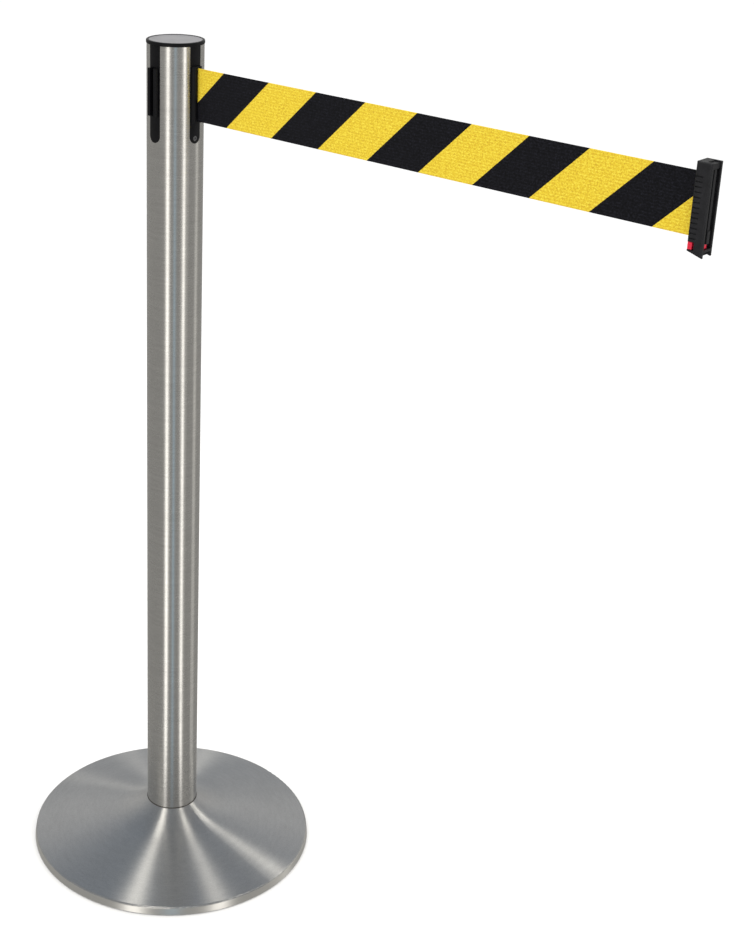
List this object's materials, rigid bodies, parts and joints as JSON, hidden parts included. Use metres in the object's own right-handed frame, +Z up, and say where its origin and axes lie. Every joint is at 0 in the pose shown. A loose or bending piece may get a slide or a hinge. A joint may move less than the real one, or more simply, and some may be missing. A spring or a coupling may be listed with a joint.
{
  "type": "retractable belt stanchion",
  "caption": "Crowd-control post with a weighted round base, a brushed steel tube, and a striped belt that is drawn out of the head and ends in a clip.",
  "frame": {"origin": "on the floor, on the post's axis", "axes": "+Z up along the post, +X the way the belt is drawn out of the head"},
  "size_m": [0.837, 0.356, 1.029],
  "materials": {
    "post_steel": "satin, brushed round the post",
    "base_steel": "satin, spun",
    "black_plastic": "fine moulded texture",
    "clip_plastic": "fine moulded texture",
    "red_plastic": "gloss",
    "cap_metal": "brushed",
    "belt_weave": "woven, yellow and black slanted stripes",
    "base_rubber": "matt",
    "iron": "as cast",
    "plated_steel": "zinc plated",
    "spring_steel": "blued",
    "spool_plastic": "natural acetal",
    "brake_rubber": "matt",
    "bronze": "sintered"
  },
  "bodies": {
    "root": {"floor_ring": "base_rubber", "bolt_cover": "base_rubber", "base_weight": "iron", "base_cover": "base_steel", "post_gasket": "black_plastic", "tie_bolt": "plated_steel", "lock_washer": "plated_steel", "plate_washer": "plated_steel", "foot_plug": "plated_steel", "post_tube": "post_steel", "cassette_core": "black_plastic", "cassette_lid": "black_plastic", "lid_screws": "plated_steel", "cassette_screw": "plated_steel", "head_cap": "black_plastic", "cap_disc": "cap_metal", "receiver_right": "black_plastic", "receiver_back": "black_plastic", "receiver_left": "black_plastic", "belt_nose": "black_plastic", "guide_pins": "plated_steel", "belt_leader": "belt_weave", "spool_axle": "plated_steel", "axle_clips": "spring_steel", "brake_drum": "plated_steel"},
    "spool_unit": {"spool": "spool_plastic", "spool_bushes": "bronze", "belt_roll": "belt_weave", "spring_cup": "spool_plastic", "spring_cover": "plated_steel", "power_spring": "spring_steel", "brake_carrier": "spool_plastic"},
    "shoe_a": {"brake_shoe_a": "brake_rubber"},
    "shoe_b": {"brake_shoe_b": "brake_rubber"},
    "belt_end": {"belt": "belt_weave", "clip_shell_near": "clip_plastic", "clip_shell_far": "clip_plastic", "clip_tongue": "clip_plastic", "loop_pin": "plated_steel", "clip_screws": "plated_steel"},
    "lock": {"lock_slider": "red_plastic"}
  },
  "joints": [
    {"name": "belt_pull", "type": "slide", "parent": "root", "child": "belt_end", "axis": [1, 0, 0], "range_m": [-0.6075, 1.55], "stiffness_N_per_m": 3, "springref_m": -3, "deforming": ["belt"]},
    {"name": "spool_turn", "type": "hinge", "parent": "root", "child": "spool_unit", "pos_m": [0, 0, 0.973], "axis": [0, 0, 1], "range_deg": [-5400, 2200], "deforming": ["power_spring"]},
    {"name": "shoe_a_swing", "type": "hinge", "parent": "spool_unit", "child": "shoe_a", "pos_m": [0.0195, 0, 1.01], "axis": [0, 0, -1], "range_deg": [0, 3]},
    {"name": "shoe_b_swing", "type": "hinge", "parent": "spool_unit", "child": "shoe_b", "pos_m": [-0.0195, 0, 1.01], "axis": [0, 0, -1], "range_deg": [0, 3]},
    {"name": "lock_slide", "type": "slide", "parent": "belt_end", "child": "lock", "axis": [1, 0, 0], "range_m": [0, 0.002], "stiffness_N_per_m": 300, "springref_m": -0.002}
  ],
  "couplings": [
    {"joint": "spool_turn", "follows": "belt_pull", "rad_per_m": -60}
  ]
}
